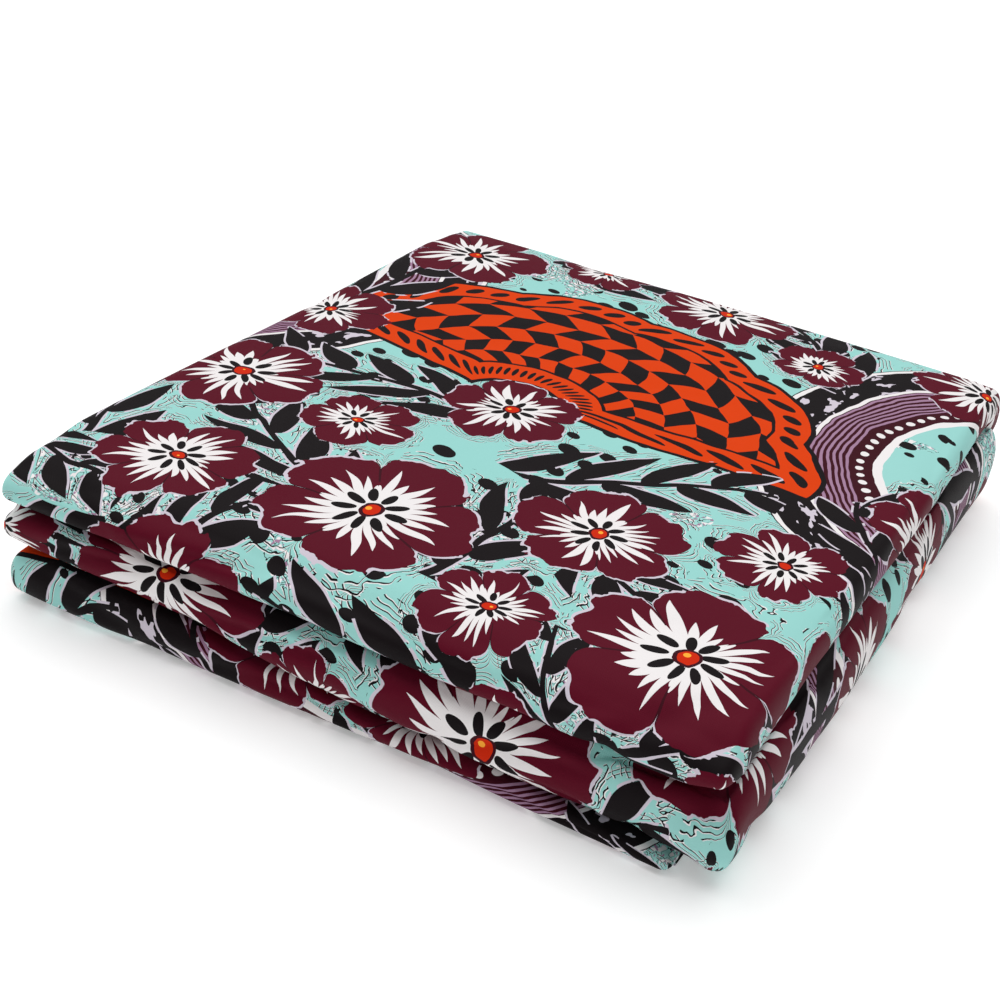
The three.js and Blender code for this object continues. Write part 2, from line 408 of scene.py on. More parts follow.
TURQUOISE = ink("a0d9d3")
TEAL = ink("86cdc7")
BURGUNDY = ink("5a0a20")
WINE = ink("3d0a18")
CHARCOAL = ink("161113")
ORANGE = ink("de4004")
EMBER = ink("cf2a08")
YOLK = ink("ffae3a")
WHITE = ink("f0ecec")
MAUVE = ink("a5809c")
LILAC = ink("d3cad6")

REPEAT = (0.400, 0.460)  # width and length of one repeat of the print, in metres
THREAD_PITCH = 0.0007  # one thread over and one under, in metres


def wired(tree, kind, inputs, **options):
    """Adds a node with its options and feeds its sockets from values or other sockets."""
    node = tree.nodes.new("ShaderNode" + kind)
    for name, value in options.items():
        setattr(node, name, value)
    for socket, value in inputs.items():
        if isinstance(value, bpy.types.NodeSocket):
            tree.links.new(value, node.inputs[socket])
        else:
            node.inputs[socket].default_value = value
    return node


def maths(operation):
    """A function that adds one math node of this kind and gives its value."""
    return lambda tree, *values: wired(tree, "Math", dict(enumerate(values)), operation=operation).outputs[0]


times = maths("MULTIPLY")
divided = maths("DIVIDE")
plus = maths("ADD")
minus = maths("SUBTRACT")
ramp = maths("MULTIPLY_ADD")  # the value, its slope and its start
power = maths("POWER")
less = maths("LESS_THAN")
more = maths("GREATER_THAN")
least = maths("MINIMUM")
most = maths("MAXIMUM")
absolute = maths("ABSOLUTE")
whole = maths("FLOOR")
fraction = maths("FRACT")
zigzag = maths("PINGPONG")
sign_of = maths("SIGN")
sine = maths("SINE")
cosine = maths("COSINE")
arctan = maths("ARCTAN2")


def vector(tree, operation, *values):
    node = wired(tree, "VectorMath", dict(enumerate(values)), operation=operation)
    return node.outputs["Value" if operation in ("LENGTH", "DISTANCE", "DOT_PRODUCT") else "Vector"]


def scaled(tree, value, size):
    return wired(tree, "VectorMath", {0: value, "Scale": size}, operation="SCALE").outputs[0]


def painted(tree, mask, below, above):
    """Colour above wherever the mask is 1, and below elsewhere."""
    return wired(tree, "Mix", {0: mask, 6: below, 7: above}, data_type="RGBA").outputs[2]


def either(tree, mask, below, above):
    return wired(tree, "Mix", {0: mask, 2: below, 3: above}, data_type="FLOAT").outputs[0]


def noise(tree, point, scale, detail=1.0):
    inputs = {"Vector": point, "Scale": scale, "Detail": detail}
    return wired(tree, "TexNoise", inputs, noise_dimensions="2D").outputs[0]


def group(name, inputs, outputs):
    """A new node group and its own input and output sockets."""
    tree = bpy.data.node_groups.new(name, "ShaderNodeTree")
    for direction, sockets in (("INPUT", inputs), ("OUTPUT", outputs)):
        for label, kind in sockets.items():
            tree.interface.new_socket(name=label, in_out=direction, socket_type="NodeSocket" + kind)
    return tree, tree.nodes.new("NodeGroupInput").outputs, tree.nodes.new("NodeGroupOutput").inputs


def use(tree, shared, inputs):
    """Places a node group with its own values and returns its outputs."""
    return wired(tree, "Group", inputs, node_tree=shared).outputs


def polar(tree, point):
    """Radius and angle of a point about its own origin."""
    apart = wired(tree, "SeparateXYZ", {0: point}).outputs
    return arctan(tree, apart[1], apart[0]), vector(tree, "LENGTH", point)


def nearest_group():
    """Keeps the nearer of two motifs: its own coordinates, how far out the point is, its mark."""
    tree, given, result = group(
        "nearest_motif",
        {"Point": "Vector", "Centre": "Vector", "Size": "Float", "Mark": "Float",
         "Local so far": "Vector", "Reach so far": "Float", "Mark so far": "Float"},
        {"Local": "Vector", "Reach": "Float", "Mark": "Float"},
    )
    half = (REPEAT[0] / 2, REPEAT[1] / 2, 1)
    apart = vector(tree, "SUBTRACT", given["Point"], given["Centre"])
    apart = vector(tree, "WRAP", apart, half, tuple(-v for v in half))
    local = scaled(tree, apart, divided(tree, 1, given["Size"]))
    reach = vector(tree, "LENGTH", local)
    closer = less(tree, reach, given["Reach so far"])
    choice = {0: closer, 4: given["Local so far"], 5: local}
    tree.links.new(wired(tree, "Mix", choice, data_type="VECTOR").outputs[1], result["Local"])
    tree.links.new(least(tree, reach, given["Reach so far"]), result["Reach"])
    tree.links.new(either(tree, closer, given["Mark so far"], given["Mark"]), result["Mark"])
    return tree


def flower_group():
    """A flower: lobed petals, a brushed white star, dark stamens and a bright eye."""
    tree, given, result = group(
        "flower", {"Local": "Vector", "Seed": "Float"}, {"Colour": "Color", "Cover": "Float", "Near": "Float"}
    )
    rays, stamens = 25, 9
    shift = wired(tree, "CombineXYZ", {0: given["Seed"], 1: given["Seed"]}).outputs[0]
    stirred = vector(tree, "ADD", given["Local"], scaled(tree, shift, 37))
    rough = noise(tree, stirred, 2.8, 3.0)
    soft = noise(tree, stirred, 1.7, 0.0)
    wobble = times(tree, minus(tree, rough, 0.5), 0.22)
    angle, far = polar(tree, given["Local"])
    radius = plus(tree, far, wobble)
    petals = plus(tree, 5, whole(tree, times(tree, given["Seed"], 1.6)))
    half_turn = times(tree, times(tree, angle, petals), 0.5)
    across = absolute(tree, cosine(tree, half_turn))
    lobe = power(tree, across, 0.42)
    nick = power(tree, across, 30)
    rim = ramp(tree, lobe, 0.36, 0.72)
    rim = ramp(tree, nick, -0.05, rim)
    frill = sine(tree, ramp(tree, rough, 14, times(tree, angle, 13)))
    rim = ramp(tree, frill, 0.022, rim)
    inside = less(tree, radius, rim)
    outline = times(tree, more(tree, rough, 0.46), 0.035)
    cover = less(tree, radius, plus(tree, rim, outline))
    seam = times(tree, less(tree, across, 0.05), more(tree, radius, 0.5))
    colour = painted(tree, inside, LILAC, painted(tree, seam, BURGUNDY, WINE))

    def spokes(count, turn):
        bent = ramp(tree, minus(tree, soft, 0.5), 0.22, angle)
        place = ramp(tree, bent, count / (2 * math.pi), turn)
        pick = wired(
            tree, "TexWhiteNoise", {"Vector": plus(tree, whole(tree, place), given["Seed"])}
        ).outputs["Value"]
        return minus(tree, fraction(tree, place), 0.5), pick

    off, pick = spokes(rays, 0.0)
    point = ramp(tree, absolute(tree, off), -2, 1)
    long = times(tree, power(tree, point, 0.8), ramp(tree, pick, 0.44, 0.16))
    long = times(tree, long, ramp(tree, lobe, 0.8, 0.30))
    star_at = ramp(tree, minus(tree, soft, 0.5), 0.25, far)
    star = less(tree, star_at, plus(tree, long, 0.33))
    colour = painted(tree, star, colour, WHITE)
    off, pick = spokes(stamens, 0.3)
    ring = ramp(tree, pick, 0.08, 0.21)
    q = times(tree, times(tree, off, 2 * math.pi / stamens), far)
    p = minus(tree, far, ring)
    drop = plus(tree, power(tree, divided(tree, p, 0.12), 2), power(tree, divided(tree, q, 0.050), 2))
    colour = painted(tree, less(tree, drop, 1), colour, CHARCOAL)
    eye = ramp(tree, wobble, 0.6, far)
    for size, shade in ((0.135, WINE), (0.10, EMBER)):
        colour = painted(tree, less(tree, eye, size), colour, shade)
    spot = vector(tree, "DISTANCE", given["Local"], (0.025, 0.025, 0))
    colour = painted(tree, less(tree, spot, 0.035), colour, YOLK)
    tree.links.new(colour, result["Colour"])
    tree.links.new(cover, result["Cover"])
    tree.links.new(minus(tree, radius, rim), result["Near"])
    return tree


def sprig_group():
    """A leafy sprig along x from -1 to 1: alternate pointed leaves on a bowed stem."""
    tree, given, result = group(
        "sprig", {"Local": "Vector"}, {"Colour": "Color", "Cover": "Float", "Near": "Float"}
    )
    pitch, lean, half_width = 0.52, math.radians(38), 0.150
    apart = wired(tree, "SeparateXYZ", {0: given["Local"]}).outputs
    x = apart[0]
    bow = times(tree, sine(tree, times(tree, x, 2.0)), 0.16)
    y = minus(tree, apart[1], bow)
    side = sign_of(tree, y)
    off = absolute(tree, y)
    shifted = ramp(tree, side, pitch / 4, x)
    place = divided(tree, plus(tree, shifted, 0.95), pitch)
    first = times(tree, fraction(tree, place), pitch)
    nearest = None
    for step in (0, 1, 2):
        ahead = plus(tree, first, step * pitch)
        root = minus(tree, shifted, ahead)
        length = ramp(tree, root, -0.18, 0.72)
        p = ramp(tree, off, math.sin(lean), times(tree, ahead, math.cos(lean)))
        q = ramp(tree, off, math.cos(lean), times(tree, ahead, -math.sin(lean)))
        share = wired(tree, "Clamp", {0: divided(tree, p, length)}).outputs[0]
        q = ramp(tree, power(tree, share, 2), 0.1, minus(tree, q, 0.02))
        bulge = times(tree, power(tree, share, 0.75), minus(tree, 1, share))
        edge = ramp(tree, bulge, -2.25 * half_width, absolute(tree, q))
        off_stem = most(tree, less(tree, root, -0.97), more(tree, root, 0.62))
        past_tip = absolute(tree, minus(tree, divided(tree, p, length), share))
        edge = plus(tree, ramp(tree, past_tip, 2.0, edge), off_stem)
        nearest = edge if nearest is None else least(tree, nearest, edge)
    thin = ramp(tree, x, 0.010, -0.030)
    past = most(tree, minus(tree, absolute(tree, x), 0.98), 0)
    stem = plus(tree, plus(tree, off, thin), times(tree, past, 4))
    near = least(tree, nearest, stem)
    fill = less(tree, near, 0)
    broken = times(tree, more(tree, noise(tree, given["Local"], 5, 1.0), 0.45), 0.020)
    tree.links.new(painted(tree, fill, LILAC, CHARCOAL), result["Colour"])
    tree.links.new(less(tree, near, broken), result["Cover"])
    tree.links.new(near, result["Near"])
    return tree


def fan_group():
    """A chequered fan: slanted checks between a border of oval dots and a dark outline."""
    tree, given, result = group("fan", {"Local": "Vector"}, {"Colour": "Color", "Cover": "Float"})
    spread, checks, ring_width, border_width = 1.42, 38, 0.098, 0.145
    angle, radius = polar(tree, given["Local"])
    rough = times(tree, minus(tree, noise(tree, given["Local"], 9, 2.0), 0.5), 0.014)
    radius = plus(tree, radius, rough)
    scallop = times(tree, absolute(tree, sine(tree, times(tree, angle, 6))), 0.05)
    rim = plus(tree, 0.94, scallop)
    side = minus(tree, spread, absolute(tree, angle))
    side = times(tree, side, radius)
    edge = least(tree, minus(tree, rim, radius), side)
    edge = least(tree, edge, minus(tree, radius, 0.15))
    cover = more(tree, edge, 0)
    ring = divided(tree, radius, ring_width)
    lean = times(tree, zigzag(tree, ring, 1), 0.62)
    slant = ramp(tree, angle, checks / (2 * math.pi), lean)
    cells = plus(tree, whole(tree, ring), whole(tree, slant))
    check = more(tree, zigzag(tree, cells, 1), 0.5)
    colour = painted(tree, check, ORANGE, CHARCOAL)
    band = less(tree, edge, border_width)
    row = minus(tree, divided(tree, edge, border_width), 0.52)
    run = plus(tree, times(tree, angle, 9), times(tree, radius, 9))
    step = minus(tree, fraction(tree, run), 0.5)
    dot = plus(tree, power(tree, divided(tree, row, 0.2), 2),
               power(tree, divided(tree, step, 0.3), 2))
    border = painted(tree, less(tree, dot, 1), ORANGE, CHARCOAL)
    line = absolute(tree, minus(tree, edge, 0.140))
    border = painted(tree, less(tree, line, 0.008), border, CHARCOAL)
    colour = painted(tree, band, colour, border)
    colour = painted(tree, less(tree, edge, 0.018), colour, CHARCOAL)
    tree.links.new(colour, result["Colour"])
    tree.links.new(cover, result["Cover"])
    return tree


def ribbon_group():
    """A curved ribbon about its own centre: dotted, striped and black bands, side by side."""
    tree, given, result = group(
        "ribbon",
        {"Local": "Vector", "Inner": "Float", "Outer": "Float"},
        {"Colour": "Color", "Cover": "Float"},
    )
    angle, radius = polar(tree, given["Local"])
    stripe_count, dot_pitch = 21, 0.0062
    width = minus(tree, given["Outer"], given["Inner"])
    rough = times(tree, minus(tree, noise(tree, given["Local"], 60, 2.0), 0.5), 0.0022)
    t = divided(tree, minus(tree, plus(tree, radius, rough), given["Inner"]), width)
    arc = times(tree, angle, given["Inner"])
    stripes = fraction(tree, times(tree, t, stripe_count))
    colour = painted(tree, more(tree, stripes, 0.52), WINE, MAUVE)
    steps = minus(tree, fraction(tree, divided(tree, arc, dot_pitch)), 0.5)
    dots = plus(tree, power(tree, divided(tree, steps, 0.27), 2),
                power(tree, divided(tree, minus(tree, t, 0.17), 0.035), 2))
    dotted = painted(tree, less(tree, dots, 1), WINE, WHITE)
    colour = painted(tree, less(tree, t, 0.26), colour, dotted)
    dash_at = wired(tree, "CombineXYZ", {0: times(tree, arc, 130), 1: times(tree, t, 9)})
    dash = more(tree, noise(tree, dash_at.outputs[0], 1.0, 2.0), 0.63)
    black = painted(tree, dash, CHARCOAL, LILAC)
    colour = painted(tree, more(tree, t, 0.62), colour, black)
    for place, thick in ((0.035, 0.035), (0.60, 0.018), (0.97, 0.02)):
        line = absolute(tree, minus(tree, t, place))
        colour = painted(tree, less(tree, line, thick), colour, WHITE)
    inside = times(tree, more(tree, t, 0), less(tree, t, 1))
    tree.links.new(colour, result["Colour"])
    tree.links.new(inside, result["Cover"])
    return tree


def echo_group():
    """Broken dark and white lines that repeat a motif's outline on the ground close to it."""
    tree, given, result = group(
        "echo_lines",
        {"Point": "Vector", "Near": "Float", "Width": "Float", "Below": "Color"},
        {"Colour": "Color"},
    )
    unrest = noise(tree, given["Point"], 130, 0.6)
    steps = divided(tree, given["Near"], given["Width"])
    place = fraction(tree, ramp(tree, unrest, 1.7, steps))
    gaps = noise(tree, vector(tree, "ADD", given["Point"], (1.9, 6.1, 0)), 150, 1.0)
    kept = times(tree, more(tree, gaps, 0.40), less(tree, steps, 3.8))
    white = times(tree, less(tree, place, 0.33), kept)
    dark = times(tree, less(tree, place, 0.20), kept)
    colour = painted(tree, white, given["Below"], WHITE)
    tree.links.new(painted(tree, dark, colour, CHARCOAL), result["Colour"])
    return tree


def squiggle_group():
    """The fine dark and white marks that the wax leaves close round the motifs."""
    tree, given, result = group("wax_squiggles", {"Point": "Vector"}, {"Colour": "Color"})
    mark = noise(tree, given["Point"], 380, 0.8)
    other = noise(tree, vector(tree, "ADD", given["Point"], (5.3, 2.9, 0)), 420, 1.0)
    line = less(tree, absolute(tree, minus(tree, mark, 0.47)), 0.024)
    colour = painted(tree, more(tree, mark, 0.59), TURQUOISE, LILAC)
    colour = painted(tree, more(tree, mark, 0.615), colour, WHITE)
    colour = painted(tree, line, colour, CHARCOAL)
    fleck = more(tree, other, 0.67)
    tree.links.new(painted(tree, fleck, colour, MAUVE), result["Colour"])
    return tree


def pebbles_group():
    """Dark oval pebbles, scattered in drifts over the ground."""
    tree, given, result = group("pebbles", {"Point": "Vector"}, {"Cover": "Float"})
    turned = wired(tree, "VectorRotate", {"Vector": given["Point"], "Angle": 0.5}, rotation_type="Z_AXIS")
    stretched = vector(tree, "MULTIPLY", turned.outputs[0], (62, 88, 0))
    cells = wired(tree, "TexVoronoi", {"Vector": stretched, "Scale": 1.0}, voronoi_dimensions="2D").outputs
    tint = wired(tree, "SeparateColor", {0: cells["Color"]}).outputs
    size = ramp(tree, tint[0], 0.22, 0.13)
    drift = more(tree, noise(tree, given["Point"], 17, 0.0), 0.37)
    kept = times(tree, more(tree, tint[1], 0.28), drift)
    tree.links.new(times(tree, less(tree, cells["Distance"], size), kept), result["Cover"])
    return tree


# Places and radii in metres on the repeat; a turn is the way that a motif points, in degrees.
FAN = {"at": (0.186, 0.232), "size": 0.130, "turn": 84}
RIBBON = {"at": (0.400, 0.300), "size": 1.0, "turn": 0, "inner": 0.074, "outer": 0.126}

FLOWERS = table(
    "at size seed",
    ((0.190, 0.122), 0.038, 0.42),
    ((0.262, 0.160), 0.030, 0.11),
    ((0.114, 0.112), 0.028, 0.73),
    ((0.318, 0.108), 0.038, 0.27),
    ((0.252, 0.094), 0.021, 0.93),
    ((0.150, 0.178), 0.021, 0.56),
    ((0.090, 0.188), 0.032, 0.18),
    ((0.322, 0.184), 0.023, 0.64),
    ((0.366, 0.252), 0.030, 0.35),
    ((0.078, 0.268), 0.027, 0.81),
    ((0.096, 0.372), 0.032, 0.05),
    ((0.156, 0.398), 0.022, 0.48),
    ((0.220, 0.390), 0.031, 0.98),
    ((0.276, 0.362), 0.020, 0.22),
    ((0.346, 0.388), 0.030, 0.69),
    ((0.190, 0.226), 0.026, 0.31),
    ((0.384, 0.150), 0.033, 0.14),
    ((0.022, 0.246), 0.027, 0.88),
    ((0.014, 0.330), 0.030, 0.39),
    ((0.104, 0.448), 0.035, 0.59),
    ((0.038, 0.432), 0.024, 0.02),
    ((0.204, 0.004), 0.029, 0.77),
    ((0.294, 0.440), 0.034, 0.25),
    ((0.272, 0.036), 0.029, 0.91),
    ((0.142, 0.048), 0.032, 0.46),
    ((0.018, 0.064), 0.036, 0.67),
    ((0.352, 0.042), 0.026, 0.08),
)

SPRIGS = table(
    "at size turn",
    ((0.232, 0.134), 0.052, 68),
    ((0.140, 0.142), 0.050, 130),
    ((0.258, 0.205), 0.052, 22),
    ((0.064, 0.140), 0.050, 98),
    ((0.354, 0.206), 0.050, 112),
    ((0.132, 0.216), 0.046, 168),
    ((0.290, 0.132), 0.046, -40),
    ((0.084, 0.318), 0.056, 70),
    ((0.186, 0.408), 0.056, 12),
    ((0.262, 0.388), 0.052, 118),
    ((0.020, 0.388), 0.056, 40),
    ((0.012, 0.196), 0.056, 75),
    ((0.224, 0.056), 0.054, 160),
    ((0.080, 0.036), 0.056, 22),
    ((0.320, 0.004), 0.056, 142),
    ((0.384, 0.330), 0.052, 65),
    ((0.150, 0.088), 0.044, 50),
    ((0.344, 0.082), 0.048, 24),
    ((0.286, 0.072), 0.034, 100),
    ((0.090, 0.088), 0.034, -24),
)


def wax_print_group():
    """One repeat of the print, in metres on the flat cloth: its colour."""
    tree, given, result = group("wax_print", {"Point": "Vector"}, {"Colour": "Color", "Dark": "Float"})
    nearest, flower, sprig = nearest_group(), flower_group(), sprig_group()
    stir = wired(tree, "TexNoise", {"Vector": given["Point"], "Scale": 26.0, "Detail": 2.0},
                 noise_dimensions="2D").outputs["Color"]
    stir = vector(tree, "SUBTRACT", stir, (0.5, 0.5, 0.5))
    point = vector(tree, "ADD", given["Point"], scaled(tree, stir, 0.006))

    def closest(rows, mark):
        """Coordinates, reach and mark of the motif that lies nearest in a list."""
        kept = {"Local": (9, 9, 0), "Reach": 9.0, "Mark": 0.0}
        for row in rows:
            kept = use(tree, nearest, {
                "Point": point, "Centre": (*row["at"], 0), "Size": row["size"], "Mark": row[mark],
                "Local so far": kept["Local"], "Reach so far": kept["Reach"], "Mark so far": kept["Mark"],
            })
        return kept

    def pointed(local, turn):
        """Turns a motif's coordinates so that their x runs the way that it points, in degrees."""
        angle = times(tree, turn, -math.pi / 180)
        inputs = {"Vector": local, "Angle": angle}
        return wired(tree, "VectorRotate", inputs, rotation_type="Z_AXIS").outputs[0]

    tone = noise(tree, point, 9, 2.0)
    colour = painted(tree, times(tree, tone, 0.35), TURQUOISE, TEAL)
    marks = use(tree, squiggle_group(), {"Point": given["Point"]})["Colour"]
    patch = noise(tree, vector(tree, "ADD", point, (3.1, 1.7, 0)), 21, 1.0)
    drifts = more(tree, patch, 0.64)
    colour = painted(tree, drifts, colour, marks)

    stem = closest(SPRIGS, "turn")
    leaves = use(tree, sprig, {"Local": pointed(stem["Local"], stem["Mark"])})
    echo = echo_group()
    colour = use(tree, echo, {
        "Point": given["Point"], "Near": leaves["Near"], "Width": 0.040, "Below": colour})["Colour"]

    pebble = use(tree, pebbles_group(), {"Point": given["Point"]})["Cover"]
    colour = painted(tree, pebble, colour, CHARCOAL)

    ribbon = use(tree, ribbon_group(), {
        "Local": closest([RIBBON], "turn")["Local"], "Inner": RIBBON["inner"], "Outer": RIBBON["outer"]})
    colour = painted(tree, ribbon["Cover"], colour, ribbon["Colour"])
    fan = use(tree, fan_group(), {"Local": pointed(closest([FAN], "turn")["Local"], FAN["turn"])})
    colour = painted(tree, fan["Cover"], colour, fan["Colour"])
    colour = painted(tree, leaves["Cover"], colour, leaves["Colour"])

    bloom = closest(FLOWERS, "seed")
    turned = pointed(bloom["Local"], times(tree, bloom["Mark"], 360))
    bloom = use(tree, flower, {"Local": turned, "Seed": bloom["Mark"]})
    echoed = use(tree, echo, {
        "Point": given["Point"], "Near": bloom["Near"], "Width": 0.070, "Below": colour})["Colour"]
    drawn = most(tree, most(tree, leaves["Cover"], fan["Cover"]), pebble)
    bare = minus(tree, 1, most(tree, drawn, ribbon["Cover"]))
    colour = painted(tree, bare, colour, echoed)
    colour = painted(tree, bloom["Cover"], colour, bloom["Colour"])

    light = wired(tree, "RGBToBW", {0: colour}).outputs[0]
    tree.links.new(colour, result["Colour"])
    tree.links.new(less(tree, light, 0.06), result["Dark"])
    return tree


def weave_group():
    """Plain weave of the cotton, as a height over the flat cloth."""
    tree, given, result = group("plain_weave", {"Point": "Vector"}, {"Height": "Float"})
    apart = wired(tree, "SeparateXYZ", {0: given["Point"]}).outputs
    threads = 2 * math.pi / THREAD_PITCH
    warp = sine(tree, times(tree, apart[0], threads))
    weft = sine(tree, times(tree, apart[1], threads))
    slub = noise(tree, given["Point"], 900, 1.0)
    tree.links.new(ramp(tree, slub, 1.4, times(tree, warp, weft)), result["Height"])
    return tree


def printed_cotton():
    """The waxed cotton: the print, a fine weave and the slight sheen of its glazed face."""
    material = bpy.data.materials.new("printed_cotton")
    material.use_nodes = True
    tree = material.node_tree
    tree.nodes.clear()
    point = wired(tree, "UVMap", {}, uv_map="cloth").outputs[0]
    printed = use(tree, wax_print_group(), {"Point": point})
    weave = use(tree, weave_group(), {"Point": point})
    rumple = noise(tree, point, 38, 3.0)
    ridge = wired(tree, "Bump", {"Height": rumple, "Strength": 0.10, "Distance": 0.004}).outputs[0]
    surface = wired(tree, "Bump", {
        "Height": weave["Height"], "Normal": ridge, "Strength": 0.16, "Distance": 0.0002}).outputs[0]
    rough = ramp(tree, printed["Dark"], -0.08, 0.60)
    rough = ramp(tree, rumple, 0.10, rough)
    shader = wired(tree, "BsdfPrincipled", {
        "Base Color": printed["Colour"], "Roughness": rough, "Normal": surface,
        "IOR": 1.45, "Specular IOR Level": 0.06, "Sheen Weight": 0.01, "Sheen Roughness": 0.5})
    wired(tree, "OutputMaterial", {"Surface": shader.outputs[0]})
    return material


def open_top(node_high):
    """Underside of the uppermost leaf, which the stretch's own sheet makes."""
    return lambda x, y: node_high(x, y) - FIRST_LEAF


top_leaves = folded_leaves(
    "top_leaves",
    {
        "edge": -HALF_X + 3.5 * MM,
        "span": (-HALF_Y + 24 * MM, HALF_Y - 18 * MM),
        "low": top_underside,
        "high": open_top(top_face),
        "sway": (0.9 * MM, 1.2 * MM),
        "phase": 1.2,
    },
    table(
        "share inset wave waves phase print_at",
        (1.0, 1.6, 0.5, 1.4, 0.10, (0.30, 0.18)),
        (1.2, 3.4, 0.7, 0.9, 0.45, (0.12, 0.41)),
        (0.8, 0.9, 0.6, 1.8, 0.72, (0.36, 0.05)),
    ),
)

cotton_print = printed_cotton()
for piece in (top_cloth, top_leaves):
    piece.data.materials.append(cotton_print)
    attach(piece, "root")
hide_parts("top_length", "upper_turn")
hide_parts("top_length")


# ---- Middle fold -----------------------------------------------------------------------------
# The second and third lengths, turned back on themselves: the fattest roll of the front. Its
# right edge rounds over and hangs down to the floor, over the length below.

middle_high, middle_low = faces_of("middle_fold")

MIDDLE_CREASES = table(
    "at angle long wide deep bow",
    ((-104, -178), 14, 24, 3.2, 2.5),
    ((-60, -188), -8, 30, 3.2, 2.2, 3),
    ((-18, -176), 6, 34, 2.8, 2.7),
    ((20, -190), -12, 26, 3.2, 2.4),
    ((62, -180), 16, 30, 3.2, 3.1, 3),
    ((100, -192), -10, 26, 3.2, 2.2),
    ((122, -180), 38, 20, 3.2, 2.5),
    ((162, 80), 87, 50, 2.4, 2),
    ((158, -10), 94, 46, 2.4, 1.8, 2),
    ((166, -84), 82, 36, 2.4, 2.2),
    ((160, -136), 70, 22, 2.8, 2.1),
)

middle_cloth = cloth_sheet(
    "middle_cloth",
    {
        "edge": inset(left=3.5, right=1, front=0.5, back=13),
        "over": sides(left=6, right=8, front=9, back=3),
        "under": sides(left=5, right=6, front=10, back=3),
        "tail": sides(left=5, right=4, front=20, back=3),
        "rise": 13 * MM,
        "drop": 12 * MM,
        "widest": 0.52,
        "fullness": 0.85,
        "margin": 5.5 * MM,
        "fine": 1.3 * MM,
        "coarse": 5 * MM,
        "corner_turns": 2.2,
        "high": middle_high,
        "low": middle_low,
        "open_left": True,
        "sway": (1.0 * MM, 1.0 * MM),
        "phase": 2.1,
        "print_at": (0.26, 0.29),
        "creases": MIDDLE_CREASES,
    },
)

middle_leaves = folded_leaves(
    "middle_leaves",
    {
        "edge": -HALF_X + 3 * MM,
        "span": (-HALF_Y + 22 * MM, HALF_Y - 15.5 * MM),
        "low": middle_low,
        "high": open_top(middle_high),
        "sway": (1.2 * MM, 1.0 * MM),
        "phase": 2.1,
    },
    table(
        "share inset wave waves phase print_at",
        (1.1, 2.2, 0.6, 1.1, 0.30, (0.07, 0.12)),
        (0.9, 0.6, 0.5, 1.7, 0.05, (0.22, 0.33)),
        (1.2, 3.6, 0.8, 0.8, 0.62, (0.33, 0.02)),
        (0.8, 1.4, 0.6, 1.5, 0.88, (0.15, 0.24)),
    ),
)
for piece in (middle_cloth, middle_leaves):
    piece.data.materials.append(cotton_print)
    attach(piece, "root")
    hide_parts("middle_fold")


# ---- Bottom length ---------------------------------------------------------------------------
# The lowest length, flat on the surface that the pile stands on. Its closed end is the bottom
# roll of the front, pressed thin towards the right, where the middle fold hangs over it.

bottom_high, bottom_low = faces_of("bottom_length")

BOTTOM_CREASES = table(
    "at angle long wide deep bow",
    ((-104, -172), -9, 24, 2.7, 1.7),
    ((-58, -176), 8, 28, 3.2, 2),
    ((-6, -171), -6, 26, 2.7, 1.7, 2),
    ((44, -177), 10, 24, 2.7, 1.5),
    ((84, -172), -5, 26, 2.7, 1.4),
)

bottom_cloth = cloth_sheet(
    "bottom_cloth",
    {
        "edge": inset(left=4.5, right=20, front=3, back=14),
        "over": sides(left=5, right=5, front=8, back=3),
        "under": sides(left=4, right=4, front=8, back=3),
        "tail": sides(left=4, right=3, front=12, back=3),
        "rise": 8 * MM,
        "drop": 8 * MM,
        "widest": 0.54,
        "fullness": 0.85,
        "margin": 8 * MM,
        "fine": 1.2 * MM,
        "coarse": 5 * MM,
        "corner_turns": 2.0,
        "high": bottom_high,
        "low": bottom_low,
        "open_left": True,
        "sway": (1.0 * MM, 1.2 * MM),
        "phase": 0.4,
        "print_at": (0.392, 0.400),
        "creases": BOTTOM_CREASES,
    },
)

bottom_leaves = folded_leaves(
    "bottom_leaves",
    {
        "edge": -HALF_X + 5 * MM,
        "span": (-HALF_Y + 24 * MM, HALF_Y - 16 * MM),
        "low": bottom_low,
        "high": open_top(bottom_high),
        "sway": (1.0 * MM, 1.2 * MM),
        "phase": 0.4,
    },
    table(
        "share inset wave waves phase print_at",
        (1.2, 0.4, 0.4, 1.0, 0.15, (0.02, 0.30)),
        (0.8, 2.6, 0.6, 1.6, 0.52, (0.26, 0.10)),
        (1.0, 1.2, 0.7, 0.9, 0.80, (0.38, 0.36)),
    ),
)
for piece in (bottom_cloth, bottom_leaves):
    piece.data.materials.append(cotton_print)
    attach(piece, "root")
    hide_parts("bottom_length")


# ---- Lowest layer ----------------------------------------------------------------------------
# The face of the cloth that lies on the surface, flat inside the rounded edges of the bottom
# length and joined to it out of sight.

LOWEST_SIZE = (SIDE_X - 30 * MM, SIDE_Y - 24 * MM)
LOWEST_MIDDLE = (-5 * MM, -2 * MM)
LOWEST_HEIGHT = COTTON + 0.1 * MM  # its upper face, so that the cloth just clears the surface
LOWEST_PRINT_AT = (0.31, 0.09)
LOWEST_CREASES = table(
    "at angle long wide deep bow",
    ((-50, 60), 12, 70, 6, 0.8),
    ((60, -40), -20, 60, 6, 0.9, 4),
    ((10, -110), 5, 80, 7, 0.7),
)

